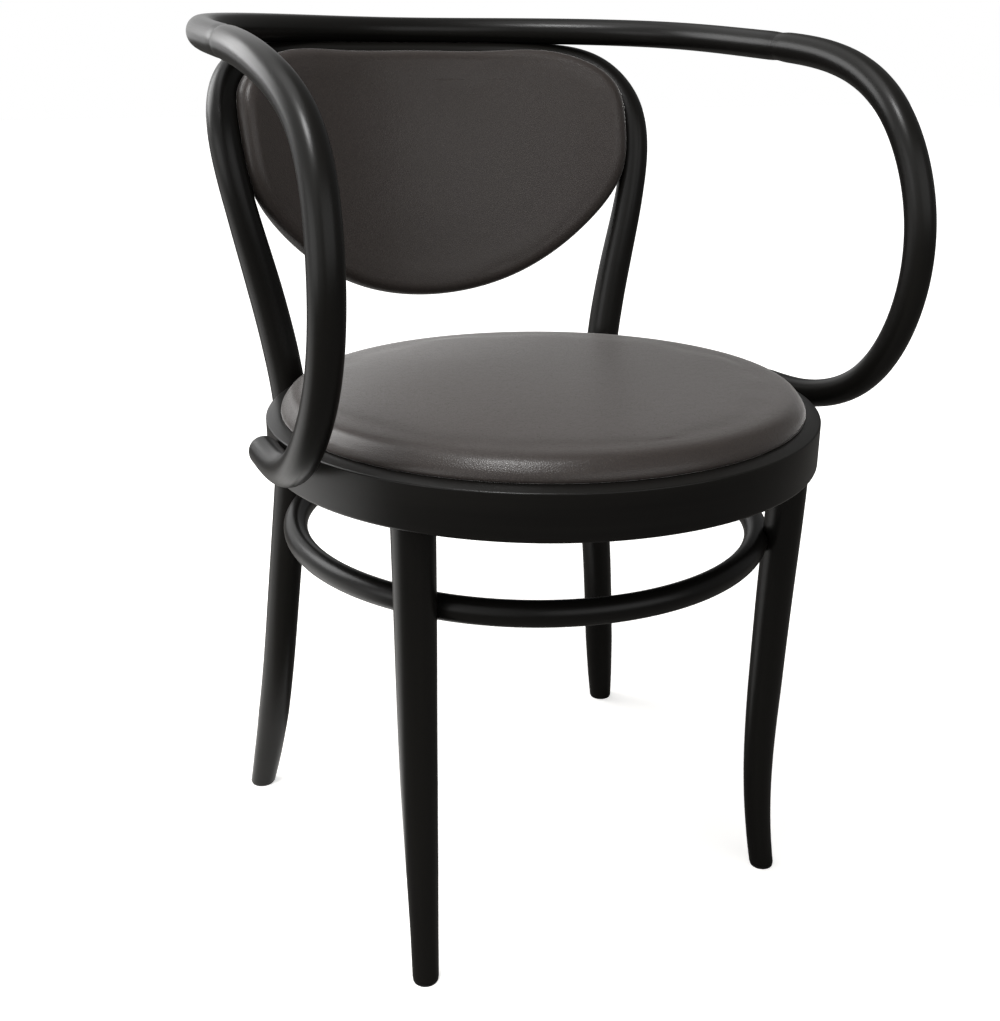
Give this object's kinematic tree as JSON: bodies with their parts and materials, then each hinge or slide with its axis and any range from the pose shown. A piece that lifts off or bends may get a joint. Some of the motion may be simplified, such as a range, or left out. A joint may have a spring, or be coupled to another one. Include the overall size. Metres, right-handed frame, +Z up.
{
  "type": "bentwood armchair",
  "caption": "Dining armchair of bent, black-stained round rods with a round leather-covered seat, an upholstered curved back and arms that sweep down to the seat ring.",
  "frame": {"origin": "middle of the bounding box at floor level", "axes": "+Z up, -Y towards the front of the chair, +X towards the sitter's left"},
  "size_m": [0.5196, 0.5392, 0.7501],
  "materials": {
    "stained_beech": "satin black stain and lacquer",
    "raw_beech": "unfinished",
    "plywood": "unfinished",
    "leather": "satin, fine grain",
    "foam": "matte",
    "dust_cloth": "matte",
    "steel": "zinc plated",
    "black_plastic": "matte"
  },
  "bodies": {
    "root": {"arm_bow_left": "stained_beech", "arm_bow_right": "stained_beech", "arm_dowel_left": "raw_beech", "arm_dowel_right": "raw_beech", "arm_end_screw_left": "steel", "arm_end_screw_right": "steel", "back_board": "plywood", "back_cover": "leather", "back_foam": "foam", "back_loop": "stained_beech", "back_rail": "stained_beech", "back_rear_panel": "leather", "back_screw_side_left": "steel", "back_screw_side_right": "steel", "back_screw_top_left": "steel", "back_screw_top_right": "steel", "front_leg_left": "stained_beech", "front_leg_right": "stained_beech", "glide_front_left": "black_plastic", "glide_front_right": "black_plastic", "glide_rear_left": "black_plastic", "glide_rear_right": "black_plastic", "hoop_screw_front_left": "steel", "hoop_screw_front_right": "steel", "hoop_screw_rear_left": "steel", "hoop_screw_rear_right": "steel", "rail_screw_left": "steel", "rail_screw_right": "steel", "rear_bolt_left": "steel", "rear_bolt_right": "steel", "rear_bolt_washer_left": "steel", "rear_bolt_washer_right": "steel", "seat_board": "plywood", "seat_cover": "leather", "seat_dust_cover": "dust_cloth", "seat_foam": "foam", "seat_ring": "stained_beech", "seat_screw_front_left": "steel", "seat_screw_front_right": "steel", "seat_screw_rear_left": "steel", "seat_screw_rear_right": "steel", "stretcher_hoop": "stained_beech"}
  },
  "joints": []
}
